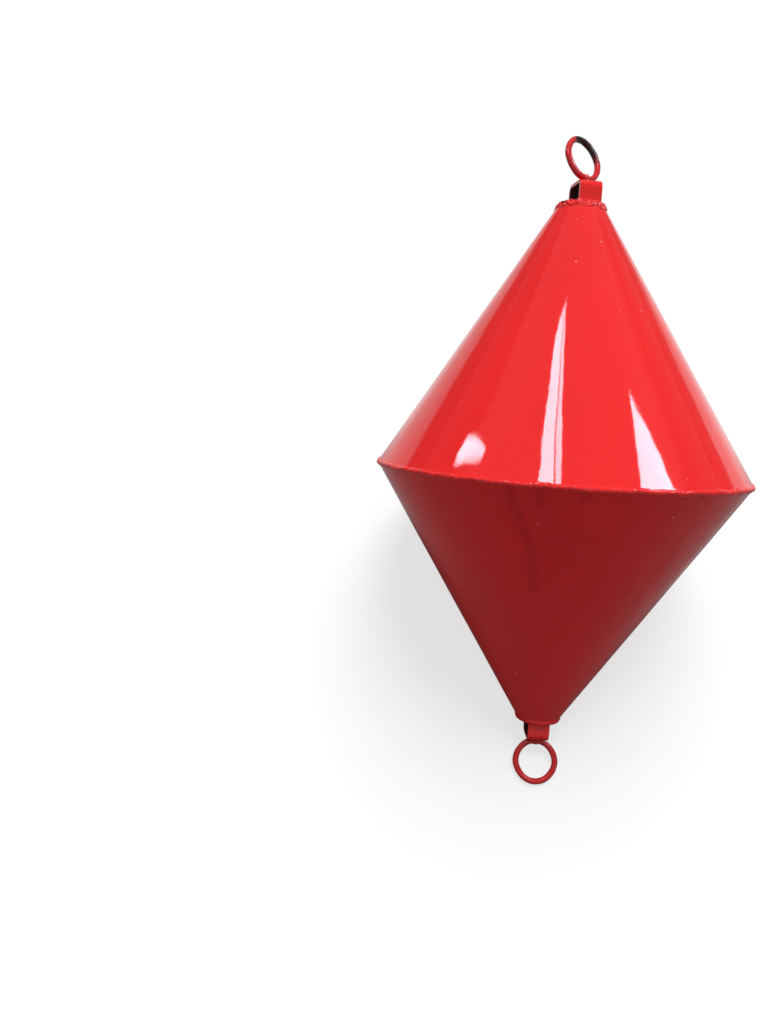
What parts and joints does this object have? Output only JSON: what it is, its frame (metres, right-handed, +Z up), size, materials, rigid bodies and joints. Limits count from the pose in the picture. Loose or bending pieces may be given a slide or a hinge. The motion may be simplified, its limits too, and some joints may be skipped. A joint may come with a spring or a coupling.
{
  "type": "anchor buoy",
  "caption": "Double-cone steel anchor buoy with a welded belt and a loose swivel eye in a bent strap at each tip.",
  "frame": {"origin": "on the floor, under the middle of the buoy's bounding box as it lies at rest", "axes": "+Z up, +Y towards the upper end of the buoy, +X to its right seen from the lower end"},
  "size_m": [0.5006, 0.787, 0.4407],
  "materials": {
    "hull_red": "gloss",
    "weld_red": "gloss",
    "fitting_red": "gloss"
  },
  "bodies": {
    "hull": {"upper_cone": "hull_red", "lower_cone": "hull_red", "belt_weld": "weld_red", "upper_seam_weld": "weld_red", "lower_seam_weld": "weld_red", "upper_end_plate": "hull_red", "lower_end_plate": "hull_red", "upper_end_weld": "weld_red", "lower_end_weld": "weld_red", "lower_foot_weld_over": "weld_red", "lower_foot_weld_under": "weld_red", "upper_strap": "hull_red", "lower_strap": "hull_red"},
    "upper_eye": {"upper_swivel_pin": "fitting_red", "upper_ring": "fitting_red", "upper_ring_weld": "fitting_red"},
    "lower_eye": {"lower_swivel_pin": "fitting_red", "lower_ring": "fitting_red", "lower_ring_weld": "fitting_red"}
  },
  "joints": [
    {"name": "upper_swivel", "type": "hinge", "parent": "hull", "child": "upper_eye", "pos_m": [0.0045, 0.32557, 0.41187], "axis": [-0.1277, 0.966, 0.2248], "continuous": true},
    {"name": "lower_swivel", "type": "hinge", "parent": "hull", "child": "lower_eye", "pos_m": [0, -0.32557, 0.01723], "axis": [0, -0.9808, -0.1948], "continuous": true}
  ]
}
